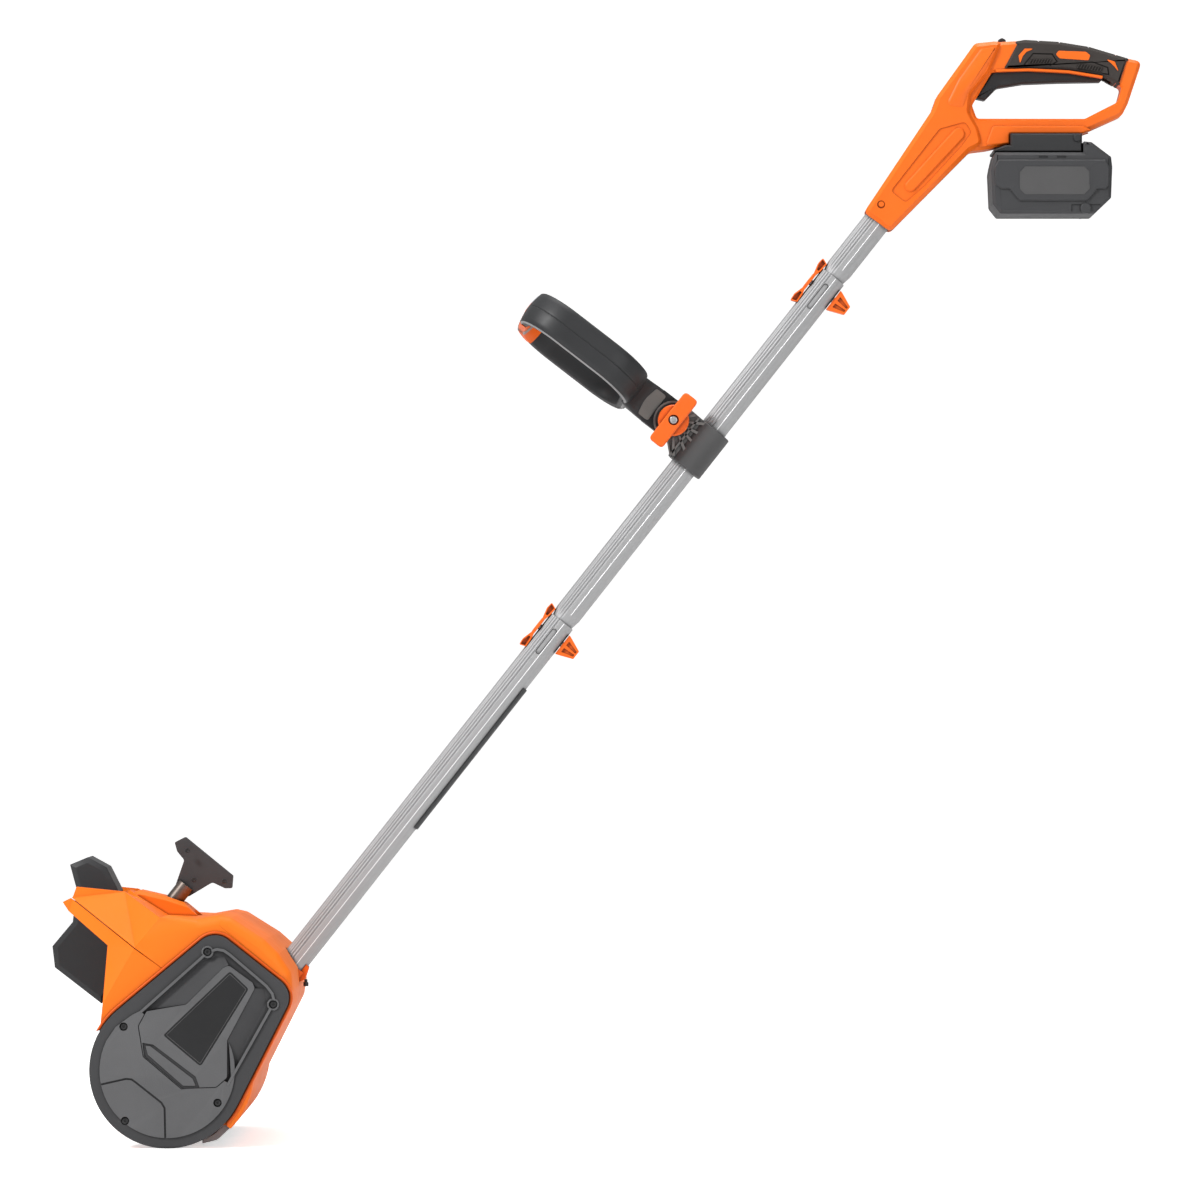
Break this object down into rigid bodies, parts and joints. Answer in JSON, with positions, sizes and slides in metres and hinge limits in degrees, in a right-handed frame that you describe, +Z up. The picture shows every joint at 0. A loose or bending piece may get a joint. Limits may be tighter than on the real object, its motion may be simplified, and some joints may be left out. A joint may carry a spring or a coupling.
{
  "type": "single stage snowblower",
  "caption": "Battery single stage snow shovel: paddle rotor head with steering vanes on a jointed straight shaft, a tilting front loop handle, and a rear handle with trigger and battery pack.",
  "frame": {"origin": "on the ground plane under the middle of the overall box", "axes": "+Z up, +X from the throwing side of the head to the rear handle, +Y across the machine, away from the belt cover"},
  "size_m": [1.0858, 0.32, 1.099],
  "materials": {
    "orange_shell": "moulded, fine satin texture",
    "orange_knob": "moulded, satin",
    "cover_plastic": "moulded, coarse spark texture",
    "dark_plastic": "moulded, satin",
    "grey_plastic": "moulded, satin",
    "grip_rubber": "soft overmould",
    "battery_plastic": "moulded, fine texture",
    "tube_aluminium": "drawn and clear anodised",
    "steel": "zinc plated",
    "black_screw": "black",
    "rubber": "matt"
  },
  "bodies": {
    "machine": {"head_housing": "orange_shell", "handle_shell_left": "orange_shell", "handle_shell_right": "orange_shell", "tube_collar": "orange_knob", "lower_bolt_cap": "orange_knob", "upper_bolt_cap": "orange_knob", "near_side_cover": "cover_plastic", "far_side_cover": "cover_plastic", "tube_strip": "dark_plastic", "battery_foot": "dark_plastic", "scraper_bar": "grey_plastic", "handle_grip": "grip_rubber", "lower_tube": "tube_aluminium", "middle_tube": "tube_aluminium", "upper_tube": "tube_aluminium", "rotor_bearing_near": "steel", "rotor_bearing_far": "steel", "drive_motor": "steel", "lower_joint_bolt": "steel", "upper_joint_bolt": "steel", "trigger_spring": "steel", "cover_screw_1": "black_screw", "cover_screw_2": "black_screw", "cover_screw_3": "black_screw", "cover_screw_4": "black_screw", "cover_screw_5": "black_screw", "trigger_switch": "black_screw", "drive_belt": "rubber", "power_cable": "rubber"},
    "rotor": {"rotor_shaft": "steel", "rotor_drum": "dark_plastic", "rotor_paddle_1": "rubber", "rotor_paddle_2": "rubber", "rotor_pulley": "grey_plastic"},
    "motor_drive": {"motor_pulley": "steel"},
    "deflector": {"deflector_vanes": "dark_plastic", "deflector_stem": "steel", "deflector_handle_near": "dark_plastic", "deflector_handle_far": "dark_plastic", "handle_screw_1": "black_screw", "handle_screw_2": "black_screw", "handle_screw_3": "black_screw"},
    "trigger_lever": {"trigger": "dark_plastic"},
    "lock_button": {"lock_off_button": "dark_plastic"},
    "bracket": {"clamp_bracket": "grey_plastic", "pivot_bolt": "steel"},
    "front_handle": {"front_loop": "dark_plastic", "loop_inlay": "orange_knob"},
    "front_handle_knob": {"front_knob": "orange_knob"},
    "lower_knob": {"lower_wing_knob": "orange_knob"},
    "upper_knob": {"upper_wing_knob": "orange_knob"},
    "battery": {"battery_case": "battery_plastic", "battery_cells": "grey_plastic"},
    "battery_release": {"battery_latch": "black_screw"}
  },
  "joints": [
    {"name": "rotor_spin", "type": "hinge", "parent": "machine", "child": "rotor", "pos_m": [-0.4192, 0, 0.076], "axis": [0, 1, 0], "continuous": true},
    {"name": "motor_spin", "type": "hinge", "parent": "machine", "child": "motor_drive", "pos_m": [-0.3562, 0, 0.1645], "axis": [0, 1, 0], "continuous": true},
    {"name": "deflector_turn", "type": "hinge", "parent": "machine", "child": "deflector", "pos_m": [-0.4202, 0, 0.2404], "axis": [0.6184, 0, 0.7859], "range_deg": [-30, 30]},
    {"name": "trigger_pull", "type": "hinge", "parent": "machine", "child": "trigger_lever", "pos_m": [0.5023, 0, 1.0585], "axis": [0, 1, 0], "range_deg": [0, 2.5], "stiffness_Nm_per_rad": 8, "springref_deg": -2.86, "deforming": ["trigger_spring"]},
    {"name": "lock_off_press", "type": "slide", "parent": "machine", "child": "lock_button", "axis": [0, 0, -1], "range_m": [0, 0.0025], "stiffness_N_per_m": 600, "springref_m": -0.001},
    {"name": "bracket_slide", "type": "slide", "parent": "machine", "child": "bracket", "axis": [0.6184, 0, 0.7859], "range_m": [-0.06, 0.06]},
    {"name": "front_handle_tilt", "type": "hinge", "parent": "bracket", "child": "front_handle", "pos_m": [0.07501, 0, 0.71474], "axis": [0, 1, 0], "range_deg": [-45, 40]},
    {"name": "front_knob_turn", "type": "hinge", "parent": "bracket", "child": "front_handle_knob", "pos_m": [0.07501, 0, 0.71474], "axis": [0, 1, 0], "continuous": true},
    {"name": "lower_knob_turn", "type": "hinge", "parent": "machine", "child": "lower_knob", "pos_m": [-0.0472, 0, 0.50041], "axis": [-0.7859, 0, 0.6184], "continuous": true},
    {"name": "upper_knob_turn", "type": "hinge", "parent": "machine", "child": "upper_knob", "pos_m": [0.22397, 0, 0.84501], "axis": [-0.7859, 0, 0.6184], "continuous": true},
    {"name": "battery_slide", "type": "slide", "parent": "machine", "child": "battery", "axis": [1, 0, 0], "range_m": [0, 0.09]},
    {"name": "battery_release_press", "type": "slide", "parent": "battery", "child": "battery_release", "axis": [-1, 0, 0], "range_m": [0, 0.0025], "stiffness_N_per_m": 600, "springref_m": -0.001}
  ],
  "couplings": [
    {"joint": "motor_spin", "follows": "rotor_spin", "ratio": 3.1429}
  ]
}
